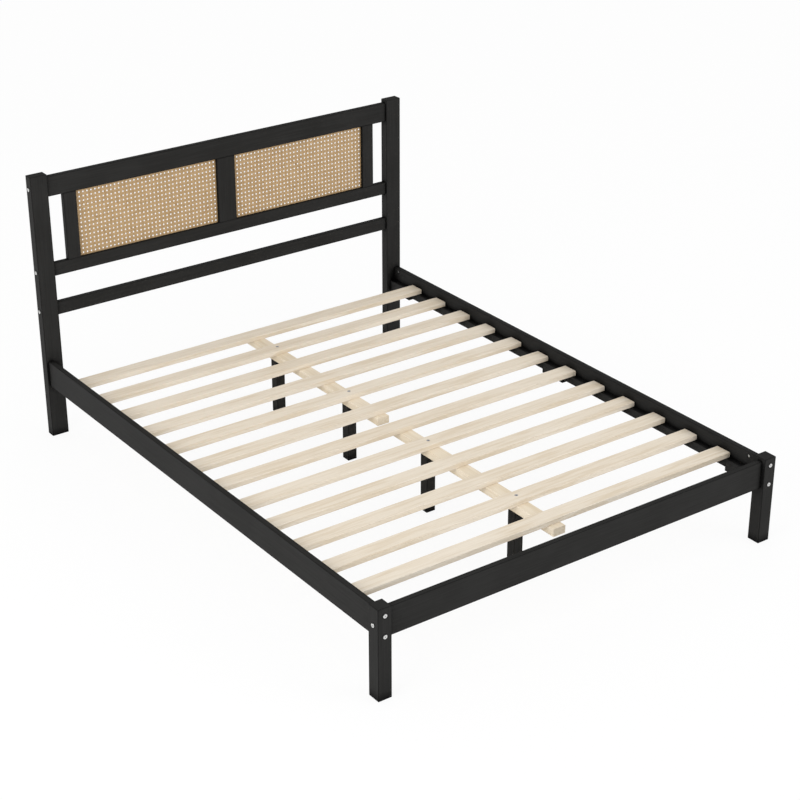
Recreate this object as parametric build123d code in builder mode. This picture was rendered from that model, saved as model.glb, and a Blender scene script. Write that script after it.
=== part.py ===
from build123d import *
from math import radians, tan
import os

# A platform bed of painted wood with cane panels in its headboard and a base of loose slats.
# Sizes are in millimetres. X runs across the bed, Y from its foot to its head, and Z is up.
# The origin is on the floor, at the middle of the space that the four corner posts stand in.

# Mattress space, for a mattress 1524 wide and 2032 long
clear_width = 1524.0  # between the side rails
clear_length = 2035.75  # between the foot posts and the head posts

# Corner posts
foot_post_width = 48.5
foot_post_depth = 48.5
foot_post_height = 313.0
head_post_width = 65.0
head_post_depth = 36.0
head_post_height = 1004.0
head_post_inset = 5.5  # outer face, inside the line of the foot posts' outer faces
post_rounding = 2.0

# Side rails and foot rail
rail_height = 98.0
rail_drop = 12.0  # rail tops, below the foot posts' tops
side_rail_thickness = 20.0
foot_rail_thickness = 20.0
rail_rounding = 1.5

# Headboard frame
headboard_thickness = 20.0
top_rail_height = 73.5
top_rail_drop = 12.0  # rail top, below the head posts' tops
panel_opening_height = 250.5
middle_rail_height = 48.5
lower_gap = 101.5  # between the middle and the lower rail
lower_rail_height = 48.5
post_gap = 59.5  # between a head post and the stile beside it
side_stile_width = 50.5
centre_stile_width = 76.5

# Cane panels
cane_thickness = 2.5
cane_backing = 5.8  # wood of the frame, behind the cane
cane_insertion = 7.0  # panel edge inside its groove
cane_end_play = 1.0
cane_face_clearance = 0.2
cane_openings_across = 12
cane_openings_up = 5
cane_opening_width = 22.0  # across the flat sides of an opening
cane_opening_sides = 8

# Ledgers and blocks on the inner faces of the side rails
ledger_thickness = 20.0
ledger_height = 30.0
block_height = 45.0  # from the rail's lower edge to the slats
middle_block_length = 113.0
ledger_rounding = 1.0

# Slats
slat_count = 12
slat_width = 60.0
slat_thickness = 18.0
first_slat_distance = 157.0  # from the head posts to the middle of the slat beside them
last_slat_distance = 151.75  # from the foot posts to the middle of the slat beside them
slat_end_clearance = 2.0
slat_rounding = 1.5

# Centre rails and legs
centre_rail_width = 48.5
centre_rail_thickness = 28.0
centre_rail_gap = 57.0  # between the two rails
centre_rail_overhang = 24.0  # past the outer edge of the last slat
centre_rail_rounding = 1.5
leg_width = 36.0
leg_offset = 3.0  # towards the head, from the middle of the slat above
leg_rounding = 1.5
first_leg_slat = 2
slats_between_legs = 3

# Bolts and barrel nuts
bolt_diameter = 6.0
bolt_head_diameter = 14.0
bolt_head_height = 2.5
bolt_head_chamfer = 0.6
bolt_socket_width = 4.0
bolt_socket_depth = 1.8
bolt_hole_clearance = 0.5
bolt_tip_length = 8.0  # past the middle of the barrel nut
bolt_tip_clearance = 2.0
bolt_tip_chamfer = 0.8
side_rail_bolt_inset = 14.0  # from the rail's upper and lower edges
nut_diameter = 10.0
nut_clearance = 0.1
nut_recess = 1.5  # nut ends, inside the faces of the rail
nut_slot_width = 1.2
nut_slot_depth = 1.2
thread_clearance = 0.05
foot_nut_distance = 40.0  # from the side rail's foot end
head_nut_distance = 25.0  # from the side rail's head end
foot_rail_nut_distance = 40.0
headboard_nut_distance = 35.0

# Screws
screw_diameter = 4.0
screw_head_diameter = 8.0
screw_socket_width = 2.5
screw_socket_depth = 1.6
screw_head_angle = 90.0
screw_tip_wall = 5.0  # wood of the side rail, beyond the screw hole
screw_tip_clearance = 1.0
screw_clearance = 0.1
ledger_screw_count = 4
ledger_screw_inset = 60.0
block_screw_inset = 25.0
leg_screw_diameter = 6.0
leg_screw_head_diameter = 12.0
leg_screw_socket_width = 4.0
leg_screw_socket_depth = 2.5
leg_screw_bite = 40.0

# Dowels
dowel_diameter = 8.0
dowel_length = 30.0
dowel_chamfer = 1.0
dowel_clearance = 0.1
dowel_end_play = 1.0
headboard_dowel_inset = 10.0  # from the rail's upper and lower edges
foot_rail_dowel_inset = 20.0
stile_dowel_wall = 2.0  # between a dowel and the groove for the cane

# Places across the bed
rail_inner_x = clear_width / 2
rail_centre_x = rail_inner_x + side_rail_thickness / 2
foot_post_outer_x = rail_centre_x + foot_post_width / 2
foot_post_inner_x = foot_post_outer_x - foot_post_width
head_post_outer_x = foot_post_outer_x - head_post_inset
head_post_inner_x = head_post_outer_x - head_post_width
head_post_centre_x = head_post_outer_x - head_post_width / 2
ledger_inner_x = rail_inner_x - ledger_thickness
ledger_centre_x = rail_inner_x - ledger_thickness / 2
slat_length = clear_width - 2 * slat_end_clearance

# Places along the bed
overall_length = foot_post_depth + clear_length + head_post_depth
foot_y = -overall_length / 2
head_y = overall_length / 2
rail_foot_y = foot_y + foot_post_depth
rail_head_y = head_y - head_post_depth
foot_rail_centre_y = foot_y + foot_post_depth / 2
foot_rail_inner_y = foot_rail_centre_y + foot_rail_thickness / 2
headboard_centre_y = head_y - head_post_depth / 2
headboard_back_y = headboard_centre_y + headboard_thickness / 2
cane_centre_y = headboard_back_y - cane_backing - cane_thickness / 2
slat_pitch = (clear_length - first_slat_distance - last_slat_distance) / (slat_count - 1)
slat_y = [rail_head_y - first_slat_distance - k * slat_pitch for k in range(slat_count)]
slats_head_y = slat_y[0] + slat_width / 2
slats_foot_y = slat_y[-1] - slat_width / 2
slats_centre_y = (slats_head_y + slats_foot_y) / 2
leg_slats = range(first_leg_slat, slat_count + 1, slats_between_legs)
leg_y = {number: slat_y[number - 1] + leg_offset for number in leg_slats}

# Heights
rail_top_z = foot_post_height - rail_drop
rail_bottom_z = rail_top_z - rail_height
rail_centre_z = rail_top_z - rail_height / 2
side_bolt_z = (rail_bottom_z + side_rail_bolt_inset, rail_top_z - side_rail_bolt_inset)
slat_bottom_z = rail_bottom_z + block_height
slat_top_z = slat_bottom_z + slat_thickness
ledger_centre_z = slat_bottom_z - ledger_height / 2
block_centre_z = slat_bottom_z - block_height / 2
centre_rail_bottom_z = slat_bottom_z - centre_rail_thickness
top_rail_bottom_z = head_post_height - top_rail_drop - top_rail_height
middle_rail_top_z = top_rail_bottom_z - panel_opening_height
middle_rail_bottom_z = middle_rail_top_z - middle_rail_height
lower_rail_bottom_z = middle_rail_bottom_z - lower_gap - lower_rail_height

# Rails of the headboard, each with its lower edge and its height
headboard_rails = {
    "top": (top_rail_bottom_z, top_rail_height),
    "middle": (middle_rail_bottom_z, middle_rail_height),
    "lower": (lower_rail_bottom_z, lower_rail_height),
}

# Stiles of the headboard, each with its middle and its width
side_stile_x = head_post_inner_x - post_gap - side_stile_width / 2
stiles = {
    "left": (-side_stile_x, side_stile_width),
    "centre": (0.0, centre_stile_width),
    "right": (side_stile_x, side_stile_width),
}

# Openings that the cane fills, between the centre stile and the side stiles
panel_inner_x = centre_stile_width / 2
panel_outer_x = side_stile_x - side_stile_width / 2
panel_centre_x = (panel_inner_x + panel_outer_x) / 2
panel_opening_width = panel_outer_x - panel_inner_x
panel_centre_z = middle_rail_top_z + panel_opening_height / 2
cane_opening_pitch_x = panel_opening_width / cane_openings_across
cane_opening_pitch_z = panel_opening_height / cane_openings_up
cane_opening_turn = 180 / cane_opening_sides
cane_groove_depth = cane_insertion + cane_end_play
cane_groove_width = cane_thickness + 2 * cane_face_clearance

# Stretches of ledger along each side rail, and the blocks that fill the rest of it
ledgers = {
    "foot": (slats_foot_y, slats_centre_y - middle_block_length / 2),
    "head": (slats_centre_y + middle_block_length / 2, slats_head_y),
}
blocks = {
    "foot": (rail_foot_y, ledgers["foot"][0]),
    "middle": (ledgers["foot"][1], ledgers["head"][0]),
    "head": (ledgers["head"][1], rail_head_y),
}

# Centre rails along the bed
centre_rails = {
    "foot": (slats_foot_y - centre_rail_overhang, slats_centre_y - centre_rail_gap / 2),
    "head": (slats_centre_y + centre_rail_gap / 2, slats_head_y + centre_rail_overhang),
}

# Holes and lengths of the fasteners
bolt_hole_diameter = bolt_diameter + 2 * bolt_hole_clearance
bolt_tip_depth = bolt_tip_length + bolt_tip_clearance
nut_hole_diameter = nut_diameter + 2 * nut_clearance
screw_bite = side_rail_thickness - screw_tip_wall - screw_tip_clearance
dowel_hole_diameter = dowel_diameter + 2 * dowel_clearance
dowel_socket_depth = dowel_length / 2 + dowel_end_play
stile_dowel_inset = cane_groove_depth + stile_dowel_wall + dowel_diameter / 2

SIDES = {"left": -1, "right": 1}

os.makedirs("parts", exist_ok=True)


def save(piece, name):
    """Label a finished piece and write it."""
    piece.part.label = name
    export_step(piece.part, "parts/" + name + ".step")


def facing(x, y, z, normal):
    """A plane at a point of a surface, with its normal pointing out of the wood."""
    return Plane(origin=(x, y, z), z_dir=normal)


# Shapes that are added to, or cut from, the piece being built


def bar_across(length, centre_y, centre_z, depth, height, rounding):
    """Add a bar that runs across the bed, with its middle on the centre line."""
    with BuildSketch(Plane.YZ.offset(-length / 2)) as section:
        with Locations((centre_y, centre_z)):
            RectangleRounded(depth, height, rounding)
    extrude(section.sketch, amount=length)


def bar_along(ends, centre_x, centre_z, width, height, rounding):
    """Add a bar that runs along the bed between two places."""
    start_y, end_y = ends
    with BuildSketch(Plane.XZ.offset(-start_y)) as section:
        with Locations((centre_x, centre_z)):
            RectangleRounded(width, height, rounding)
    extrude(section.sketch, amount=start_y - end_y)


def bar_upright(heights, centre_x, centre_y, width, depth, rounding):
    """Add a bar that stands upright between two heights."""
    bottom_z, top_z = heights
    with BuildSketch(Plane.XY.offset(bottom_z)) as section:
        with Locations((centre_x, centre_y)):
            RectangleRounded(width, depth, rounding)
    extrude(section.sketch, amount=top_z - bottom_z)


def corner_post(centre_x, centre_y, width, depth, height):
    """Add a post that stands on the floor, rounded on every edge."""
    with BuildSketch(Plane.XY) as section:
        with Locations((centre_x, centre_y)):
            Rectangle(width, depth)
    post = extrude(section.sketch, amount=height)
    fillet(post.edges(), post_rounding)


def drill(diameter, depth, planes):
    """Sink round holes against the normals of the planes."""
    with Locations(*planes):
        Hole(diameter / 2, depth)


def countersink(diameter, head_diameter, planes):
    """Bore countersunk screw holes through the piece."""
    with Locations(*planes):
        CounterSinkHole(
            diameter / 2 + screw_clearance,
            head_diameter / 2 + screw_clearance,
            counter_sink_angle=screw_head_angle,
        )


def cane_slots(start_z, depth, places, width):
    """Cut slots for the edge of the cane, upwards from a height, or downwards if depth is negative."""
    with BuildSketch(Plane.XY.offset(start_z)) as slots:
        with Locations(*[(x, cane_centre_y) for x in places]):
            Rectangle(width, cane_groove_width)
    extrude(slots.sketch, amount=depth, mode=Mode.SUBTRACT)


# Places of the fasteners, each as a plane at the surface where the fastener goes in


def foot_bolt_planes(side):
    """Fronts of the bolts through a foot post into its side rail."""
    return [facing(side * rail_centre_x, foot_y, z, (0, -1, 0)) for z in side_bolt_z]


def head_bolt_planes(side):
    """Backs of the bolts through a head post into its side rail."""
    return [facing(side * rail_centre_x, head_y, z, (0, 1, 0)) for z in side_bolt_z]


def foot_rail_bolt_plane(side):
    """Outer end of the bolt through a foot post into the foot rail."""
    return facing(side * foot_post_outer_x, foot_rail_centre_y, rail_centre_z, (side, 0, 0))


def headboard_bolt_planes(side):
    """Outer ends of the bolts through a head post into the headboard's rails."""
    heights = [bottom_z + height / 2 for bottom_z, height in headboard_rails.values()]
    return [facing(side * head_post_outer_x, headboard_centre_y, z, (side, 0, 0)) for z in heights]


def end_heights(bottom_z, height, inset):
    """Heights of the two dowels in the end of a rail."""
    return (bottom_z + inset, bottom_z + height - inset)


def foot_rail_dowel_planes(side, direction):
    """Joints of the foot rail's dowels with a foot post."""
    heights = end_heights(rail_bottom_z, rail_height, foot_rail_dowel_inset)
    return [facing(side * foot_post_inner_x, foot_rail_centre_y, z, (direction, 0, 0)) for z in heights]


def headboard_dowel_planes(side, direction, rails=tuple(headboard_rails)):
    """Joints of the dowels of the headboard's rails with a head post."""
    heights = [z for rail in rails for z in end_heights(*headboard_rails[rail], headboard_dowel_inset)]
    return [facing(side * head_post_inner_x, headboard_centre_y, z, (direction, 0, 0)) for z in heights]


def stile_dowel_planes(joint_z, direction, names=tuple(stiles)):
    """Joints of the stiles' dowels with a rail."""
    places = []
    for centre_x, width in (stiles[name] for name in names):
        reach = width / 2 - stile_dowel_inset
        places += [centre_x - reach, centre_x + reach]
    return [facing(x, headboard_centre_y, joint_z, (0, 0, direction)) for x in places]


def screw_places(start_y, end_y, inset, count):
    """Even places of screws along a ledger or a block."""
    step = (end_y - start_y - 2 * inset) / (count - 1)
    return [start_y + inset + k * step for k in range(count)]


def ledger_screw_planes(side, ends, surface_x=ledger_inner_x):
    """Heads of a ledger's screws."""
    places = screw_places(*ends, ledger_screw_inset, ledger_screw_count)
    return [facing(side * surface_x, y, ledger_centre_z, (-side, 0, 0)) for y in places]


def block_screw_planes(side, ends, surface_x=ledger_inner_x):
    """Heads of a block's two screws."""
    places = screw_places(*ends, block_screw_inset, 2)
    return [facing(side * surface_x, y, ledger_centre_z, (-side, 0, 0)) for y in places]


# Pieces of wood


def foot_post(side):
    """A short post at a corner of the foot."""
    with BuildPart() as post:
        corner_post(
            side * rail_centre_x,
            foot_rail_centre_y,
            foot_post_width,
            foot_post_depth,
            foot_post_height,
        )
        drill(bolt_hole_diameter, foot_post_depth, foot_bolt_planes(side))
        drill(bolt_hole_diameter, foot_post_width, [foot_rail_bolt_plane(side)])
        drill(dowel_hole_diameter, dowel_socket_depth, foot_rail_dowel_planes(side, -side))
    return post


def head_post(side):
    """A tall post at a corner of the head, which carries the headboard."""
    with BuildPart() as post:
        corner_post(
            side * head_post_centre_x,
            headboard_centre_y,
            head_post_width,
            head_post_depth,
            head_post_height,
        )
        drill(bolt_hole_diameter, head_post_depth, head_bolt_planes(side))
        drill(bolt_hole_diameter, head_post_width, headboard_bolt_planes(side))
        drill(dowel_hole_diameter, dowel_socket_depth, headboard_dowel_planes(side, -side))
    return post


def foot_rail():
    """The rail between the foot posts."""
    with BuildPart() as rail:
        bar_across(
            2 * foot_post_inner_x,
            foot_rail_centre_y,
            rail_centre_z,
            foot_rail_thickness,
            rail_height,
            rail_rounding,
        )
        for side in SIDES.values():
            end = facing(side * foot_post_inner_x, foot_rail_centre_y, rail_centre_z, (side, 0, 0))
            drill(bolt_hole_diameter, foot_rail_nut_distance + bolt_tip_depth, [end])
            drill(dowel_hole_diameter, dowel_socket_depth, foot_rail_dowel_planes(side, side))
            nut_x = side * (foot_post_inner_x - foot_rail_nut_distance)
            mouth = facing(nut_x, foot_rail_inner_y, rail_centre_z, (0, 1, 0))
            drill(nut_hole_diameter, foot_rail_thickness - nut_recess + nut_clearance, [mouth])
    return rail


def side_rail(side):
    """A rail between the foot post and the head post of one side."""
    with BuildPart() as rail:
        bar_along(
            (rail_foot_y, rail_head_y),
            side * rail_centre_x,
            rail_centre_z,
            side_rail_thickness,
            rail_height,
            rail_rounding,
        )
        nut_hole_depth = side_rail_thickness - nut_recess + nut_clearance
        for end_y, inwards, nut_distance in (
            (rail_foot_y, 1, foot_nut_distance),
            (rail_head_y, -1, head_nut_distance),
        ):
            ends = [facing(side * rail_centre_x, end_y, z, (0, -inwards, 0)) for z in side_bolt_z]
            drill(bolt_hole_diameter, nut_distance + bolt_tip_depth, ends)
            nut_y = end_y + inwards * nut_distance
            mouths = [facing(side * rail_inner_x, nut_y, z, (-side, 0, 0)) for z in side_bolt_z]
            drill(nut_hole_diameter, nut_hole_depth, mouths)
        screws = []
        for ends in ledgers.values():
            screws += ledger_screw_planes(side, ends, rail_inner_x)
        for ends in blocks.values():
            screws += block_screw_planes(side, ends, rail_inner_x)
        drill(screw_diameter + 2 * screw_clearance, screw_bite + screw_tip_clearance, screws)
    return rail


def headboard_rail(name):
    """One of the three rails between the head posts."""
    bottom_z, height = headboard_rails[name]
    centre_z = bottom_z + height / 2
    slot_places = (-panel_centre_x, panel_centre_x)
    slot_width = panel_opening_width + 2 * cane_groove_depth
    with BuildPart() as rail:
        bar_across(
            2 * head_post_inner_x, headboard_centre_y, centre_z, headboard_thickness, height, rail_rounding
        )
        for side in SIDES.values():
            end = facing(side * head_post_inner_x, headboard_centre_y, centre_z, (side, 0, 0))
            drill(bolt_hole_diameter, headboard_nut_distance + bolt_tip_depth, [end])
            drill(dowel_hole_diameter, dowel_socket_depth, headboard_dowel_planes(side, side, [name]))
            nut_x = side * (head_post_inner_x - headboard_nut_distance)
            mouth = facing(nut_x, headboard_back_y, centre_z, (0, 1, 0))
            drill(nut_hole_diameter, headboard_thickness - nut_recess + nut_clearance, [mouth])
        if name == "top":
            cane_slots(top_rail_bottom_z, cane_groove_depth, slot_places, slot_width)
            drill(dowel_hole_diameter, dowel_socket_depth, stile_dowel_planes(top_rail_bottom_z, -1))
        if name == "middle":
            cane_slots(middle_rail_top_z, -cane_groove_depth, slot_places, slot_width)
            drill(dowel_hole_diameter, dowel_socket_depth, stile_dowel_planes(middle_rail_top_z, 1))
    return rail


def stile(name):
    """An upright between the top and the middle rail, slotted where it holds cane."""
    centre_x, width = stiles[name]
    slotted_edges = {"left": (1,), "centre": (-1, 1), "right": (-1,)}[name]
    slot_places = [centre_x + edge * (width - cane_groove_depth) / 2 for edge in slotted_edges]
    with BuildPart() as upright:
        bar_upright(
            (middle_rail_top_z, top_rail_bottom_z),
            centre_x,
            headboard_centre_y,
            width,
            headboard_thickness,
            rail_rounding,
        )
        cane_slots(middle_rail_top_z, panel_opening_height, slot_places, cane_groove_depth)
        drill(dowel_hole_diameter, dowel_socket_depth, stile_dowel_planes(top_rail_bottom_z, 1, [name]))
        drill(dowel_hole_diameter, dowel_socket_depth, stile_dowel_planes(middle_rail_top_z, -1, [name]))
    return upright


def cane_panel(side):
    """A sheet of openwork cane, with its edges inside the slots of its frame."""
    panel_width = panel_opening_width + 2 * cane_insertion
    panel_height = panel_opening_height + 2 * cane_insertion
    centre = (side * panel_centre_x, cane_centre_y, panel_centre_z)
    with BuildPart() as panel:
        with BuildSketch(Plane(origin=centre, x_dir=(1, 0, 0), z_dir=(0, -1, 0))):
            Rectangle(panel_width, panel_height)
            with GridLocations(
                cane_opening_pitch_x,
                cane_opening_pitch_z,
                cane_openings_across,
                cane_openings_up,
            ):
                RegularPolygon(
                    cane_opening_width / 2,
                    cane_opening_sides,
                    major_radius=False,
                    rotation=cane_opening_turn,
                    mode=Mode.SUBTRACT,
                )
        extrude(amount=cane_thickness / 2, both=True)
    return panel


def ledger(side, name):
    """A strip on a side rail that carries the ends of the slats."""
    with BuildPart() as strip:
        bar_along(
            ledgers[name],
            side * ledger_centre_x,
            ledger_centre_z,
            ledger_thickness,
            ledger_height,
            ledger_rounding,
        )
        countersink(screw_diameter, screw_head_diameter, ledger_screw_planes(side, ledgers[name]))
    return strip


def rail_block(side, name):
    """A block on a side rail, beyond or between the ledgers."""
    with BuildPart() as block:
        bar_along(
            blocks[name],
            side * ledger_centre_x,
            block_centre_z,
            ledger_thickness,
            block_height,
            ledger_rounding,
        )
        countersink(screw_diameter, screw_head_diameter, block_screw_planes(side, blocks[name]))
    return block


def slat(number):
    """A slat, with a countersunk hole in the middle where a leg is screwed on below it."""
    with BuildPart() as board:
        bar_across(
            slat_length,
            slat_y[number - 1],
            slat_bottom_z + slat_thickness / 2,
            slat_width,
            slat_thickness,
            slat_rounding,
        )
        if number in leg_slats:
            top = facing(0, leg_y[number], slat_top_z, (0, 0, 1))
            countersink(leg_screw_diameter, leg_screw_head_diameter, [top])
    return board


def centre_rail(name):
    """A rail along the middle of the bed, between the slats and the legs."""
    start_y, end_y = centre_rails[name]
    with BuildPart() as rail:
        bar_along(
            centre_rails[name],
            0,
            centre_rail_bottom_z + centre_rail_thickness / 2,
            centre_rail_width,
            centre_rail_thickness,
            centre_rail_rounding,
        )
        holes = [facing(0, y, slat_bottom_z, (0, 0, 1)) for y in leg_y.values() if start_y < y < end_y]
        drill(leg_screw_diameter + 2 * screw_clearance, centre_rail_thickness, holes)
    return rail


def centre_leg(y):
    """A square leg that stands on the floor under a centre rail."""
    with BuildPart() as leg:
        bar_upright((0, centre_rail_bottom_z), 0, y, leg_width, leg_width, leg_rounding)
        top = facing(0, y, centre_rail_bottom_z, (0, 0, 1))
        drill(leg_screw_diameter + 2 * screw_clearance, leg_screw_bite + screw_tip_clearance, [top])
    return leg


# Fasteners, each made once on the origin and then set in its places


def placed(pattern, planes):
    """Set a copy of a finished fastener on each plane."""
    with BuildPart() as group:
        with Locations(*planes):
            add(pattern.part)
    return group


def bolt(shank_length):
    """A bolt with a flat head that lies on the wood, and a six-sided socket."""
    with BuildPart() as fastener:
        with BuildSketch(Plane.XY):
            Circle(bolt_head_diameter / 2)
        extrude(amount=bolt_head_height)
        chamfer(fastener.faces().sort_by(Axis.Z)[-1].edges(), bolt_head_chamfer)
        with BuildSketch(Plane.XY):
            Circle(bolt_diameter / 2)
        extrude(amount=-shank_length)
        chamfer(fastener.faces().sort_by(Axis.Z)[0].edges(), bolt_tip_chamfer)
        with BuildSketch(Plane.XY.offset(bolt_head_height)):
            RegularPolygon(bolt_socket_width / 2, 6, major_radius=False)
        extrude(amount=-bolt_socket_depth, mode=Mode.SUBTRACT)
    return fastener


def barrel_nut(rail_thickness):
    """A round nut that lies across a rail, with its thread along X and a slot in its end."""
    length = rail_thickness - 2 * nut_recess
    with BuildPart() as nut:
        with BuildSketch(Plane.XY.offset(-length / 2)):
            Circle(nut_diameter / 2)
        extrude(amount=length)
        with BuildSketch(Plane.XY.offset(length / 2)):
            Rectangle(nut_diameter, nut_slot_width)
        extrude(amount=-nut_slot_depth, mode=Mode.SUBTRACT)
        with BuildSketch(Plane.YZ):
            Circle(bolt_diameter / 2 + thread_clearance)
        extrude(amount=nut_diameter, both=True, mode=Mode.SUBTRACT)
    return nut


def screw(diameter, head_diameter, length, socket_width, socket_depth):
    """A countersunk wood screw with its head level with the surface."""
    shank = diameter / 2
    head = head_diameter / 2
    head_depth = (head - shank) / tan(radians(screw_head_angle / 2))
    with BuildPart() as fastener:
        with BuildSketch(Plane.XZ):
            with BuildLine():
                Polyline(
                    (0, 0),
                    (head, 0),
                    (shank, -head_depth),
                    (shank, diameter - length),
                    (0, -length),
                    close=True,
                )
            make_face()
        revolve(axis=Axis.Z)
        with BuildSketch(Plane.XY):
            RegularPolygon(socket_width / 2, 6, major_radius=False)
        extrude(amount=-socket_depth, mode=Mode.SUBTRACT)
    return fastener


def dowel():
    """A wooden dowel, with its middle on the joint."""
    with BuildPart() as peg:
        with BuildSketch(Plane.XY.offset(-dowel_length / 2)):
            Circle(dowel_diameter / 2)
        extrude(amount=dowel_length)
        chamfer(peg.edges().filter_by(GeomType.CIRCLE), dowel_chamfer)
    return peg


def side_rail_nut_planes(side):
    """Middles of the barrel nuts in a side rail, each with X along its bolt."""
    places = (rail_foot_y + foot_nut_distance, rail_head_y - head_nut_distance)
    return [
        Plane(origin=(side * rail_centre_x, y, z), x_dir=(0, 1, 0), z_dir=(-side, 0, 0))
        for y in places
        for z in side_bolt_z
    ]


def headboard_nut_planes(side):
    """Middles of the barrel nuts in one end of the headboard's rails."""
    nut_x = side * (head_post_inner_x - headboard_nut_distance)
    heights = [bottom_z + height / 2 for bottom_z, height in headboard_rails.values()]
    return [Plane(origin=(nut_x, headboard_centre_y, z), x_dir=(1, 0, 0), z_dir=(0, 1, 0)) for z in heights]


def foot_rail_nut_plane(side):
    """Middle of the barrel nut in one end of the foot rail."""
    nut_x = side * (foot_post_inner_x - foot_rail_nut_distance)
    return Plane(origin=(nut_x, foot_rail_centre_y, rail_centre_z), x_dir=(1, 0, 0), z_dir=(0, 1, 0))


def on_both_sides(planes):
    """Planes of one side of the bed, and the same ones of the other side."""
    return [plane for side in SIDES.values() for plane in planes(side)]


# Headboard and foot of the bed

for side_name, side in SIDES.items():
    save(foot_post(side), "foot_post_" + side_name)
    save(head_post(side), "head_post_" + side_name)
    save(side_rail(side), "side_rail_" + side_name)
    save(cane_panel(side), "cane_panel_" + side_name)
    for place in ledgers:
        save(ledger(side, place), "ledger_" + side_name + "_" + place)
    for place in blocks:
        save(rail_block(side, place), "rail_block_" + side_name + "_" + place)

save(foot_rail(), "foot_rail")
for rail_name in headboard_rails:
    save(headboard_rail(rail_name), "headboard_" + rail_name + "_rail")
for stile_name in stiles:
    save(stile(stile_name), "headboard_stile_" + stile_name)

# Slatted base

for slat_number in range(1, slat_count + 1):
    save(slat(slat_number), f"slat_{slat_number:02d}")
for place in centre_rails:
    save(centre_rail(place), "centre_rail_" + place)
for leg_number, y in enumerate(leg_y.values(), start=1):
    save(centre_leg(y), f"centre_leg_{leg_number}")

# Bolts and barrel nuts

foot_bolt = bolt(foot_post_depth + foot_nut_distance + bolt_tip_length)
save(placed(foot_bolt, on_both_sides(foot_bolt_planes)), "side_rail_foot_bolts")
head_bolt = bolt(head_post_depth + head_nut_distance + bolt_tip_length)
save(placed(head_bolt, on_both_sides(head_bolt_planes)), "side_rail_head_bolts")
foot_rail_bolt = bolt(foot_post_width + foot_rail_nut_distance + bolt_tip_length)
save(placed(foot_rail_bolt, [foot_rail_bolt_plane(side) for side in SIDES.values()]), "foot_rail_bolts")
headboard_bolt = bolt(head_post_width + headboard_nut_distance + bolt_tip_length)
save(placed(headboard_bolt, on_both_sides(headboard_bolt_planes)), "headboard_bolts")

side_rail_nut = barrel_nut(side_rail_thickness)
save(placed(side_rail_nut, on_both_sides(side_rail_nut_planes)), "side_rail_barrel_nuts")
foot_rail_nut = barrel_nut(foot_rail_thickness)
save(placed(foot_rail_nut, [foot_rail_nut_plane(side) for side in SIDES.values()]), "foot_rail_barrel_nuts")
headboard_nut = barrel_nut(headboard_thickness)
save(placed(headboard_nut, on_both_sides(headboard_nut_planes)), "headboard_barrel_nuts")

# Screws

rail_screw = screw(
    screw_diameter,
    screw_head_diameter,
    ledger_thickness + screw_bite,
    screw_socket_width,
    screw_socket_depth,
)
ledger_screw_places = []
block_screw_places = []
for side in SIDES.values():
    for ends in ledgers.values():
        ledger_screw_places += ledger_screw_planes(side, ends)
    for ends in blocks.values():
        block_screw_places += block_screw_planes(side, ends)
save(placed(rail_screw, ledger_screw_places), "ledger_screws")
save(placed(rail_screw, block_screw_places), "rail_block_screws")
leg_screw = screw(
    leg_screw_diameter,
    leg_screw_head_diameter,
    slat_thickness + centre_rail_thickness + leg_screw_bite,
    leg_screw_socket_width,
    leg_screw_socket_depth,
)
leg_screw_places = [facing(0, y, slat_top_z, (0, 0, 1)) for y in leg_y.values()]
save(placed(leg_screw, leg_screw_places), "centre_leg_screws")

# Dowels

foot_rail_dowel_places = [p for side in SIDES.values() for p in foot_rail_dowel_planes(side, side)]
save(placed(dowel(), foot_rail_dowel_places), "foot_rail_dowels")
headboard_dowel_places = [p for side in SIDES.values() for p in headboard_dowel_planes(side, side)]
save(placed(dowel(), headboard_dowel_places), "headboard_rail_dowels")
stile_dowel_places = stile_dowel_planes(top_rail_bottom_z, 1) + stile_dowel_planes(middle_rail_top_z, 1)
save(placed(dowel(), stile_dowel_places), "headboard_stile_dowels")
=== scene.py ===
import math
import random

import bpy
from mathutils import Matrix, Vector


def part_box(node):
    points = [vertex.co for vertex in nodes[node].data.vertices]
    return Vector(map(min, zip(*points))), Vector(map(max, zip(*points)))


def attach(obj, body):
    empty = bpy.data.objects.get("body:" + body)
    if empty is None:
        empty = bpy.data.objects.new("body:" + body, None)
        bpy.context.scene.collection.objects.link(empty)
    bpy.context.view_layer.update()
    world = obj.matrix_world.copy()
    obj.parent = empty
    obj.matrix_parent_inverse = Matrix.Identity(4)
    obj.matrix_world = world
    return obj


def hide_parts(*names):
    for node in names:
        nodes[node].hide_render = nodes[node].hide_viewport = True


# A platform bed of black painted wood, with woven cane in its headboard and loose slats of pine.
# Everything is in metres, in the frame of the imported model.

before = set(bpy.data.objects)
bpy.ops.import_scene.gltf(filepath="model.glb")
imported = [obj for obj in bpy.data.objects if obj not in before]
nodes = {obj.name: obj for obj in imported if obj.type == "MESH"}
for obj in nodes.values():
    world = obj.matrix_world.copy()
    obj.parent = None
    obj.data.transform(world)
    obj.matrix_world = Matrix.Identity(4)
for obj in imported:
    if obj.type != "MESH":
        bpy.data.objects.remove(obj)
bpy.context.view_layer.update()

# Cane weave: octagonal holes between pairs of straight strands and single diagonal strands
hole_pitch_x = 0.01578
hole_pitch_z = 0.01628
hole_offset_x = -0.0034  # from the middle of the panel to the middle of a hole
hole_offset_z = -0.0020
strand_thickness = 0.00078
straight_strand_width = 0.0049
diagonal_strand_width = 0.0057
pair_spacing = 0.0051  # between the middles of the two strands of a pair
ramp_length = 0.0022  # in which a straight strand comes back to the middle of the weave
flat_crest_share = 0.17  # of a diagonal strand's wave, either side of a crest
strand_flat_share = 0.26  # of a strand's width, flat on its face, either side of its middle
strand_width_spread = 0.06
panel_edge_margin = 0.0016  # strand ends, inside the edges of the sheet

panel_seeds = {"left": 11, "right": 23}

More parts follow.
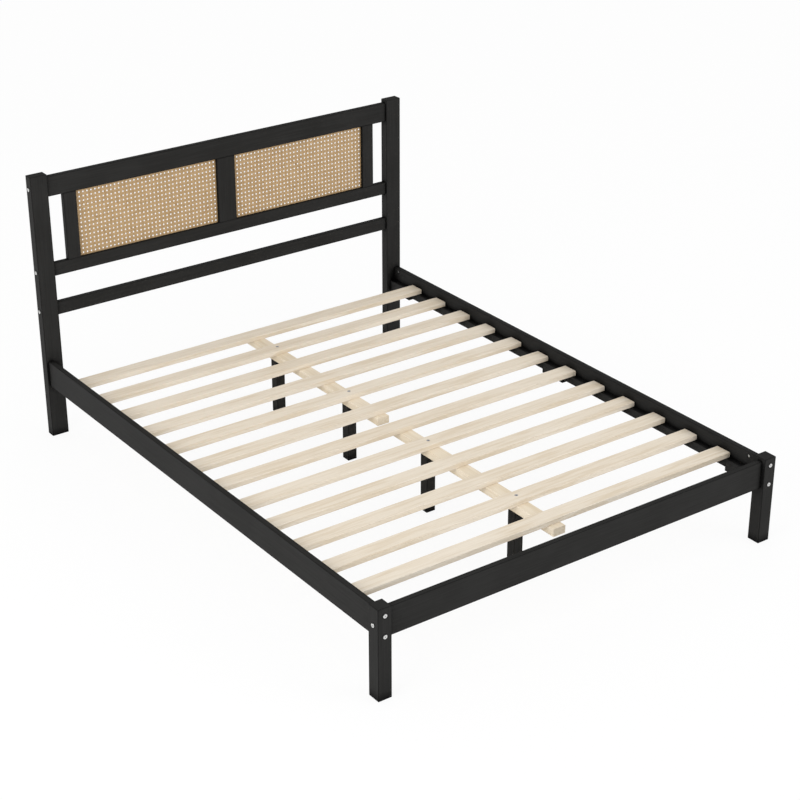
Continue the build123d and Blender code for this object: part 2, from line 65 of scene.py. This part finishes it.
# Pine boards, with their growth rings about a pith that wanders from board to board
slat_pitch = 0.157
first_slat_y = (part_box("slat_01")[0].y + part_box("slat_01")[1].y) / 2
ring_width = 0.0046
ring_waver = 0.014
pith_height = 0.17
pith_wander = 0.05

# Colours, from the palest to the darkest of each pine
pine_across_tones = ((0.800, 0.724, 0.612, 1.0), (0.770, 0.682, 0.560, 1.0),
                     (0.680, 0.575, 0.432, 1.0), (0.560, 0.452, 0.322, 1.0))
pine_along_tones = ((0.810, 0.718, 0.582, 1.0), (0.780, 0.686, 0.540, 1.0),
                    (0.700, 0.592, 0.430, 1.0), (0.570, 0.458, 0.315, 1.0))
paint_dark = (0.0212, 0.0209, 0.0202, 1.0)
paint_light = (0.0272, 0.0269, 0.0262, 1.0)
paint_on_edges = (0.005, 0.005, 0.005, 1.0)
painted_corner_shade = (0.002, 0.002, 0.002, 1.0)
cane_dark = (0.40, 0.256, 0.118, 1.0)
cane_light = (0.54, 0.368, 0.195, 1.0)
cane_even = (0.48, 0.333, 0.178, 1.0)
cane_fibre = (0.30, 0.165, 0.065, 1.0)
cane_joint = (0.27, 0.145, 0.055, 1.0)
beech_dark = (0.56, 0.43, 0.28, 1.0)
beech_light = (0.64, 0.50, 0.34, 1.0)
beech_fleck = (0.40, 0.28, 0.16, 1.0)
white = (1.0, 1.0, 1.0, 1.0)

# Steel parts: name of the finish, colour, worn colour, roughness, and share of bare metal
steel_finishes = {
    "bolt_steel": ("zinc_bolt", (0.74, 0.74, 0.73, 1.0), (0.60, 0.60, 0.59, 1.0), 0.30, 1.0),
    "nut_steel": ("zinc_nut", (0.70, 0.70, 0.68, 1.0), (0.56, 0.56, 0.54, 1.0), 0.36, 1.0),
    "leg_screw_steel": ("dull_screw", (0.40, 0.40, 0.42, 1.0), (0.28, 0.28, 0.30, 1.0), 0.50, 0.25),
    "rail_screw_steel": (
        "blackened_screw", (0.030, 0.029, 0.028, 1.0), (0.018, 0.017, 0.016, 1.0), 0.48, 1.0),
}

# Wear on the edges of the pine and steel, paint darker on its rounded edges, and painted shade, near
# black, in the corners where pieces meet
paint_edge_radius = 0.0045
pine_edge_radius = 0.0015
steel_edge_radius = 0.0006
edge_bend = (0.008, 0.07)  # from an edge's start to its middle, as 1 less the cosine of the bend
edge_samples = 4
corner_shade_reach = 0.05
corner_closeness = (0.12, 0.46)  # share of the view that is blocked, from bare to full
corner_samples = 6

# Camera, as worked out from the straight edges of the bed
lens_length = 86.1443656
sensor_width = 36.0
camera_place = Vector((-3.43685017, -4.81988503, 3.22724861))
camera_right = Vector((0.81000646, -0.58641985, -0.00114083))
camera_down = Vector((-0.25885086, -0.35579696, -0.89800042))
camera_forward = Vector((0.52619937, 0.72768145, -0.43999311))
clip_near = 0.05
clip_far = 200.0

# Studio
floor_half_width = 60.0
floor_white_share = 0.9  # of the floor, as the camera sees it; the rest takes the shadow
floor_gloss_share = 0.1  # of the floor, as a reflection shows it
floor_colour = (0.9, 0.9, 0.9, 1.0)
world_strength = 0.9
ceiling_strength = 0.12  # of the studio above its white walls, as a reflection shows it
ceiling_start = -0.02  # rise of a line of sight, above which the walls end
ceiling_full = 0.22
wall_strength = 1.0
lamp_size = 3.6
lamp_aim = (0.0, 0.0, 0.3)
lamps = {  # place, and power in watts
    "left_softbox": ((-4.6, -1.4, 2.4), 94.0),
    "right_softbox": ((3.0, -5.0, 2.4), 74.0),
}


class Value:
    """A socket of a node tree, for maths that is written as plain expressions."""

    def __init__(self, tree, link):
        self.tree = tree
        self.link = link

    def beside(self, name):
        """Another output of the same node."""
        return Value(self.tree, self.link.node.outputs[name])

    def maths(self, operation, first, second):
        return self.tree.node("ShaderNodeMath", {"operation": operation}, {0: first, 1: second})

    def __add__(self, other):
        return self.maths("ADD", self, other)

    def __radd__(self, other):
        return self.maths("ADD", other, self)

    def __sub__(self, other):
        return self.maths("SUBTRACT", self, other)

    def __rsub__(self, other):
        return self.maths("SUBTRACT", other, self)

    def __mul__(self, other):
        return self.maths("MULTIPLY", self, other)

    def __rmul__(self, other):
        return self.maths("MULTIPLY", other, self)

    def __truediv__(self, other):
        return self.maths("DIVIDE", self, other)

    def __rtruediv__(self, other):
        return self.maths("DIVIDE", other, self)

    def __pow__(self, other):
        return self.maths("POWER", self, other)

    def __mod__(self, other):
        return self.maths("FLOORED_MODULO", self, other)


class Tree:
    """The node tree of a material or of the world."""

    def __init__(self, tree):
        self.tree = tree
        tree.nodes.clear()

    def node(self, kind, settings=None, inputs=None, output=0):
        """Adds a node, with its settings first and then its sockets, and returns one output."""
        made = self.tree.nodes.new(kind)
        for name, value in (settings or {}).items():
            setattr(made, name, value)
        for name, value in (inputs or {}).items():
            if isinstance(value, Value):
                self.tree.links.new(value.link, made.inputs[name])
            else:
                made.inputs[name].default_value = value
        return Value(self, made.outputs[output]) if made.outputs else made

    def place(self):
        """The point on the object, in metres."""
        return self.node("ShaderNodeTexCoord", output="Object")

    def split(self, vector):
        first = self.node("ShaderNodeSeparateXYZ", inputs={0: vector})
        return first, first.beside("Y"), first.beside("Z")

    def join(self, x, y, z):
        return self.node("ShaderNodeCombineXYZ", inputs={"X": x, "Y": y, "Z": z})

    def noise(self, vector, scale=1.0, detail=2.0, roughness=0.5):
        return self.node("ShaderNodeTexNoise", inputs={
            "Vector": vector, "Scale": scale, "Detail": detail, "Roughness": roughness})

    def limit(self, value, low, high):
        """Takes value from low..high to 0..1, with smooth ends."""
        return self.node("ShaderNodeMapRange", {"interpolation_type": "SMOOTHSTEP"}, {
            "Value": value, "From Min": low, "From Max": high})

    def tint(self, factor, first, second):
        """The first colour at a factor of 0, and the second at 1."""
        return self.node("ShaderNodeMix", {"data_type": "RGBA"}, {
            0: factor, 6: first, 7: second}, output=2)

    def bump(self, height, strength, distance):
        return self.node("ShaderNodeBump", inputs={
            "Height": height, "Strength": strength, "Distance": distance})

    def edge(self, radius):
        """1 on the rounded edges of the wood, and 0 on its faces."""
        rounded = self.node("ShaderNodeBevel", {"samples": edge_samples}, {"Radius": radius})
        face = self.node("ShaderNodeNewGeometry", output="Normal")
        alike = self.node("ShaderNodeVectorMath", {"operation": "DOT_PRODUCT"}, {
            0: rounded, 1: face}, output="Value")
        return self.limit(1.0 - alike, *edge_bend)

    def corner_shade_mask(self, reach):
        """Mask of the painted shade: 1 deep in the corners where pieces meet, and 0 on open faces."""
        open_share = self.node("ShaderNodeAmbientOcclusion", {"samples": corner_samples}, {
            "Distance": reach}, output="AO")
        return self.limit(1.0 - open_share, *corner_closeness)

    def surface(self, **sockets):
        """The material's shader, with each socket named in words."""
        names = {name.replace("_", " ").title().replace("Ior", "IOR"): value
                 for name, value in sockets.items()}
        shader = self.node("ShaderNodeBsdfPrincipled", inputs=names)
        self.node("ShaderNodeOutputMaterial", inputs={"Surface": shader})


def new_material(name):
    material = bpy.data.materials.new(name)
    material.use_nodes = True
    return material, Tree(material.node_tree)


def along_grain(tree, place, axis):
    """The point, turned so that its X runs along the grain."""
    x, y, z = tree.split(place)
    return {"x": (x, y, z), "y": (y, x, z), "z": (z, x, y)}[axis]


# Finishes

def black_paint(name, axis):
    """Satin black paint on wood, with its grain just telegraphing through, darker on its rounded
    edges, and painted shade, near black, in the corners where pieces meet.
    """
    material, tree = new_material(name)
    place = tree.place()
    run, side, depth = along_grain(tree, place, axis)
    lengthwise = tree.join(run * 6.0, side * 260.0, depth * 260.0)
    grain = tree.noise(lengthwise, detail=3.0, roughness=0.6)
    cloud = tree.noise(place, scale=7.0, detail=2.0)
    orange_peel = tree.noise(place, scale=900.0, detail=1.0)
    edge = tree.edge(paint_edge_radius)
    tone = tree.tint(tree.limit(grain * 0.6 + cloud * 0.4, 0.36, 0.64), paint_dark, paint_light)
    # The paint is darker on its rounded edges.
    tone = tree.tint(edge * 0.9, tone, paint_on_edges)
    # Painted shade: the paint goes near black in the corners where pieces meet, where little light
    # reaches.
    tone = tree.tint(tree.corner_shade_mask(corner_shade_reach) * 0.95, tone, painted_corner_shade)
    roughness = 0.40 + (cloud - 0.5) * 0.12 + (grain - 0.5) * 0.10 - edge * 0.06
    height = grain * 0.8 + orange_peel * 0.2
    tree.surface(base_color=tone, roughness=roughness, specular_ior_level=0.02,
                 normal=tree.bump(height, 0.12, 0.0004))
    return material


def bare_pine(name, axis, pale, fair, tan, dark):
    """Planed pale pine, with fine growth rings and streaks along each board."""
    material, tree = new_material(name)
    place = tree.place()
    run, side, depth = along_grain(tree, place, axis)
    board = tree.node("ShaderNodeMath", {"operation": "FLOOR"}, {
        0: (side - first_slat_y) / slat_pitch + 0.5})
    chance = tree.node("ShaderNodeTexWhiteNoise", {"noise_dimensions": "1D"}, {
        "W": board + 31.0}, output="Value")
    seed = chance * 40.0
    waver = tree.noise(tree.join(run * 1.6 + seed, side * 9.0, depth * 9.0 + seed), detail=2.0)
    pith = side - board * slat_pitch + (chance - 0.5) * pith_wander
    rings = ((pith ** 2.0 + (depth - pith_height) ** 2.0) ** 0.5 + waver * ring_waver) / ring_width
    late = tree.limit(rings % 1.0, 0.35, 1.0)
    fibre = tree.noise(tree.join(run * 9.0 + seed, side * 420.0, depth * 420.0),
                       detail=3.0, roughness=0.65)
    streak = tree.noise(tree.join(run * 5.0 + seed, side * 85.0, depth * 85.0 + seed), detail=2.0)
    blush = tree.noise(tree.join(run * 3.0 + seed, side * 10.0, depth * 10.0), detail=1.0)
    tone = tree.tint(late * 0.65, tree.tint(chance, pale, fair), tan)
    tone = tree.tint(tree.limit(streak, 0.45, 0.62) * 0.75, tone, tan)
    tone = tree.tint(tree.limit(blush, 0.4, 0.7) * 0.55, tone, pale)
    tone = tree.tint(tree.limit(fibre, 0.5, 0.7) * 0.40, tone, dark)
    edge = tree.edge(pine_edge_radius)
    tone = tree.tint(edge * 0.25, tone, pale)
    roughness = 0.62 + (fibre - 0.5) * 0.16 - late * 0.06
    height = fibre * 0.6 - late * 0.3
    tree.surface(base_color=tone, roughness=roughness, specular_ior_level=0.35,
                 normal=tree.bump(height, 0.22, 0.0003))
    return material


def woven_cane(name):
    """Glossy skin of split cane, with fibres along each strand and a tone of its own."""
    material, tree = new_material(name)
    course = tree.node("ShaderNodeAttribute", {"attribute_name": "course"}, output="Vector")
    along, across, strand = tree.split(course)
    patch = tree.noise(tree.join(along * 26.0, strand * 90.0, 0.0), detail=2.0)
    fibre = tree.noise(tree.join(along * 160.0, across * 5.0, strand * 90.0), detail=2.0)
    joint = tree.noise(tree.join(along * 7.0, 0.0, strand * 170.0), detail=0.0)
    tone = tree.tint(tree.limit(patch, 0.3, 0.7), cane_dark, cane_light)
    tone = tree.tint(strand * 0.5, tone, cane_even)
    tone = tree.tint(tree.limit(fibre, 0.5, 0.8) * 0.35, tone, cane_fibre)
    tone = tree.tint(tree.limit(joint, 0.72, 0.80) * 0.5, tone, cane_joint)
    roughness = 0.42 + (fibre - 0.5) * 0.25
    tree.surface(base_color=tone, roughness=roughness, specular_ior_level=0.45,
                 normal=tree.bump(fibre, 0.35, 0.0002))
    return material


def plated_steel(name, colour, worn_colour, shine, bareness):
    """Plated steel, with a fine grain of the plating and duller patches."""
    material, tree = new_material(name)
    place = tree.place()
    grain = tree.noise(place, scale=2600.0, detail=2.0)
    cloud = tree.noise(place, scale=320.0, detail=2.0)
    edge = tree.edge(steel_edge_radius)
    tone = tree.tint(tree.limit(cloud, 0.35, 0.7), colour, worn_colour)
    tone = tree.tint(edge * 0.35, tone, colour)
    roughness = shine + (cloud - 0.5) * 0.18 + (grain - 0.5) * 0.10
    tree.surface(base_color=tone, metallic=bareness, roughness=roughness,
                 normal=tree.bump(grain, 0.10, 0.00005))
    return material


def beech(name):
    """Turned beech, with the short dark flecks of its rays."""
    material, tree = new_material(name)
    place = tree.place()
    x, y, z = tree.split(place)
    flecks = tree.noise(tree.join(x * 300.0, y * 700.0, z * 700.0), detail=2.0)
    cloud = tree.noise(place, scale=60.0)
    tone = tree.tint(tree.limit(cloud, 0.3, 0.7), beech_dark, beech_light)
    tone = tree.tint(tree.limit(flecks, 0.6, 0.8) * 0.5, tone, beech_fleck)
    tree.surface(base_color=tone, roughness=0.6 + (flecks - 0.5) * 0.2,
                 normal=tree.bump(flecks, 0.2, 0.0002))
    return material


# Cane panels

def crossings(pitch, offset, half):
    """The middles of the pairs of strands, half a pitch away from the holes."""
    first = math.ceil((-half - offset) / pitch - 0.5)
    last = math.floor((half - offset) / pitch - 0.5)
    return [offset + (number + 0.5) * pitch for number in range(first, last + 1)]


def straight_course(half, crossed, sign):
    """Distances along a straight strand, and how far it stands out of the weave at each."""
    near = pair_spacing / 2
    far = near + ramp_length
    crest = strand_thickness / 2
    course = [(-half, 0.0)]
    for middle in crossed:
        for step, rise in ((-far, 0.0), (-near, sign * crest), (near, -sign * crest), (far, 0.0)):
            if course[-1][0] < middle + step < half:
                course.append((middle + step, rise))
    return course + [(half, 0.0)]


def diagonal_course(start, end, wave, phase, sign):
    """Distances along a diagonal strand, which is in front at one crest and behind at the next."""
    crest = strand_thickness
    flat = flat_crest_share * wave / 2
    course = [(start, 0.0)]
    number = math.floor((start - phase) / (wave / 2))
    middle = phase + number * wave / 2
    while middle - flat < end:
        rise = crest * sign * (1 if number % 2 == 0 else -1)
        for step in (-flat, flat):
            if start < middle + step < end:
                course.append((middle + step, rise))
        number += 1
        middle = phase + number * wave / 2
    course[0] = (start, course[1][1] if len(course) > 1 else 0.0)
    return course + [(end, course[-1][1])]


class Weave:
    """The mesh of one cane panel, which grows by one strand at a time."""

    def __init__(self, middle, seed):
        self.middle = middle
        self.chance = random.Random(seed)
        self.points = []
        self.faces = []
        self.courses = []

    def strand(self, start, direction, course, width):
        """start and direction are in the plane of the panel, and course is along direction."""
        width *= 1 + self.chance.uniform(-strand_width_spread, strand_width_spread)
        seed = self.chance.random()
        aside = (-direction[1], direction[0])
        half = strand_thickness / 2
        section = ((-0.5, 0.0), (-strand_flat_share, half), (strand_flat_share, half),
                   (0.5, 0.0), (0.0, -half))
        first = len(self.points)
        for distance, rise in course:
            for share, height in section:
                across = share * width
                u = start[0] + direction[0] * distance + aside[0] * across
                v = start[1] + direction[1] * distance + aside[1] * across
                self.points.append((self.middle.x + u, self.middle.y - rise - height,
                                    self.middle.z + v))
                self.courses.append((distance, 2 * share, seed))
        count = len(section)
        for ring in range(len(course) - 1):
            for corner in range(count):
                one = first + ring * count + corner
                two = first + ring * count + (corner + 1) % count
                self.faces.append((one, two, two + count, one + count))
        last = first + (len(course) - 1) * count
        self.faces.append(tuple(first + corner for corner in reversed(range(count))))
        self.faces.append(tuple(last + corner for corner in range(count)))

    def piece(self, name, material):
        mesh = bpy.data.meshes.new(name)
        mesh.from_pydata(self.points, [], self.faces)
        mesh.polygons.foreach_set("use_smooth", [True] * len(mesh.polygons))
        course = mesh.attributes.new("course", "FLOAT_VECTOR", "POINT")
        course.data.foreach_set("vector", [number for point in self.courses for number in point])
        mesh.materials.append(material)
        mesh.update()
        made = bpy.data.objects.new(name, mesh)
        bpy.context.scene.collection.objects.link(made)
        return made


def weave_panel(name, node, seed, material):
    low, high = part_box(node)
    middle = (low + high) / 2
    half_x = (high.x - low.x) / 2 - panel_edge_margin
    half_z = (high.z - low.z) / 2 - panel_edge_margin
    weave = Weave(middle, seed)
    upright_lines = crossings(hole_pitch_x, hole_offset_x, half_x)
    cross_lines = crossings(hole_pitch_z, hole_offset_z, half_z)
    for middles, crossed, half, limit, direction in (
            (upright_lines, cross_lines, half_z, half_x, (0.0, 1.0)),
            (cross_lines, upright_lines, half_x, half_z, (1.0, 0.0))):
        turn = 1 if direction[1] else -1
        for middle_line in middles:
            for side in (-1, 1):
                place = middle_line + side * pair_spacing / 2
                if abs(place) < limit - straight_strand_width / 2:
                    start = (place, 0.0) if direction[1] else (0.0, place)
                    course = straight_course(half, crossed, turn * side)
                    weave.strand(start, direction, course, straight_strand_width)
    add_diagonals(weave, half_x, half_z)
    made = weave.piece(name, material)
    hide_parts(node)
    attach(made, "root")


def add_diagonals(weave, half_x, half_z):
    """Both sets of diagonal strands, which cross each other halfway between the holes."""
    length = math.hypot(hole_pitch_x, hole_pitch_z)
    reach = math.ceil(half_x / hole_pitch_x + half_z / hole_pitch_z) + 1
    for slope in (-1, 1):
        direction = (hole_pitch_x / length, slope * hole_pitch_z / length)
        for number in range(-reach, reach + 1):
            start = (hole_offset_x + (number + 0.5) * hole_pitch_x, hole_offset_z)
            low, high = inside(start, direction, half_x, half_z)
            if high - low < 2 * diagonal_strand_width:
                continue
            course = diagonal_course(low, high, length, 0.0, -slope)
            weave.strand(start, direction, course, diagonal_strand_width)


def inside(start, direction, half_x, half_z):
    """The stretch of a line that lies within the panel."""
    margin = diagonal_strand_width / 2
    low, high = -math.inf, math.inf
    for place, step, half in zip(start, direction, (half_x - margin, half_z - margin)):
        ends = sorted(((-half - place) / step, (half - place) / step))
        low, high = max(low, ends[0]), min(high, ends[1])
    return low, high


# Finish of each node

def finish_of(name, finishes):
    if name.startswith("slat_"):
        return finishes["pine_x"]
    if name.startswith("centre_rail"):
        return finishes["pine_y"]
    if name.endswith("dowels"):
        return finishes["beech"]
    if name.endswith("barrel_nuts"):
        return finishes["nut_steel"]
    if name.endswith("bolts"):
        return finishes["bolt_steel"]
    if name == "centre_leg_screws":
        return finishes["leg_screw_steel"]
    if name.endswith("screws"):
        return finishes["rail_screw_steel"]
    low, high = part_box(name)
    sizes = high - low
    axis = "xyz"[list(sizes).index(max(sizes))]
    return finishes["paint_" + axis]


def dress_nodes(finishes):
    for name, node in nodes.items():
        if name.startswith("cane_panel"):
            continue
        for slot in node.material_slots:
            slot.material = finish_of(name, finishes)


# Studio

def looks(tree):
    """1 for each way of looking, straight or through glass, and by reflection; else 0."""
    camera = tree.node("ShaderNodeLightPath", output="Is Camera Ray")
    straight = camera.maths("MAXIMUM", camera, camera.beside("Is Transmission Ray"))
    return straight, camera.beside("Is Glossy Ray")


def make_floor():
    material, tree = new_material("studio_floor")
    plain = tree.node("ShaderNodeBsdfDiffuse", inputs={"Color": floor_colour})
    glow = tree.node("ShaderNodeEmission", inputs={"Color": white, "Strength": 1.0})
    straight, gloss = looks(tree)
    share = straight * floor_white_share + gloss * floor_gloss_share
    mixed = tree.node("ShaderNodeMixShader", inputs={0: share, 1: plain, 2: glow})
    tree.node("ShaderNodeOutputMaterial", inputs={"Surface": mixed})
    reach = floor_half_width
    mesh = bpy.data.meshes.new("studio_floor")
    corners = [(-reach, -reach, 0.0), (reach, -reach, 0.0), (reach, reach, 0.0), (-reach, reach, 0.0)]
    mesh.from_pydata(corners, [], [(0, 1, 2, 3)])
    mesh.materials.append(material)
    floor = bpy.data.objects.new("studio_floor", mesh)
    bpy.context.scene.collection.objects.link(floor)


def make_world():
    world = bpy.data.worlds.new("studio")
    world.use_nodes = True
    bpy.context.scene.world = world
    tree = Tree(world.node_tree)
    light, wall, ceiling = (
        tree.node("ShaderNodeBackground", inputs={"Color": white, "Strength": strength})
        for strength in (world_strength, wall_strength, ceiling_strength))
    straight, gloss = looks(tree)
    rise = tree.split(tree.node("ShaderNodeTexCoord", output="Generated"))[2]
    above = tree.limit(rise, ceiling_start, ceiling_full) * gloss
    seen = tree.node("ShaderNodeMixShader", inputs={0: above, 1: wall, 2: ceiling})
    look = straight.maths("MAXIMUM", straight, gloss)
    mixed = tree.node("ShaderNodeMixShader", inputs={0: look, 1: light, 2: seen})
    tree.node("ShaderNodeOutputWorld", inputs={"Surface": mixed})


def make_lamp(name, place, aim, size, energy):
    lamp = bpy.data.lights.new(name, "AREA")
    lamp.shape = "DISK"
    lamp.size = size
    lamp.energy = energy
    made = bpy.data.objects.new(name, lamp)
    bpy.context.scene.collection.objects.link(made)
    made.location = place
    made.rotation_mode = "QUATERNION"
    made.rotation_quaternion = (Vector(aim) - Vector(place)).to_track_quat("-Z", "Y")


def make_camera():
    camera = bpy.data.cameras.new("photo_camera")
    camera.lens = lens_length
    camera.sensor_width = sensor_width
    camera.sensor_fit = "HORIZONTAL"
    camera.clip_start = clip_near
    camera.clip_end = clip_far
    made = bpy.data.objects.new("photo_camera", camera)
    bpy.context.scene.collection.objects.link(made)
    turn = Matrix((camera_right, -camera_down, -camera_forward)).transposed()
    made.rotation_mode = "QUATERNION"
    made.rotation_quaternion = turn.to_quaternion()
    made.location = camera_place
    bpy.context.scene.camera = made


def build_scene():
    make_camera()
    finishes = {
        "pine_x": bare_pine("bare_pine_across", "x", *pine_across_tones),
        "pine_y": bare_pine("bare_pine_along", "y", *pine_along_tones),
        "beech": beech("beech_dowel"),
    }
    for slot, finish in steel_finishes.items():
        finishes[slot] = plated_steel(*finish)
    for axis in "xyz":
        finishes["paint_" + axis] = black_paint("black_paint_" + axis, axis)
    dress_nodes(finishes)
    cane = woven_cane("split_cane")
    for side, seed in panel_seeds.items():
        weave_panel("cane_weave_" + side, "cane_panel_" + side, seed, cane)
    make_floor()
    make_world()
    for name, (place, energy) in lamps.items():
        make_lamp(name, place, lamp_aim, lamp_size, energy)
    bpy.context.scene.view_settings.view_transform = "Standard"


build_scene()
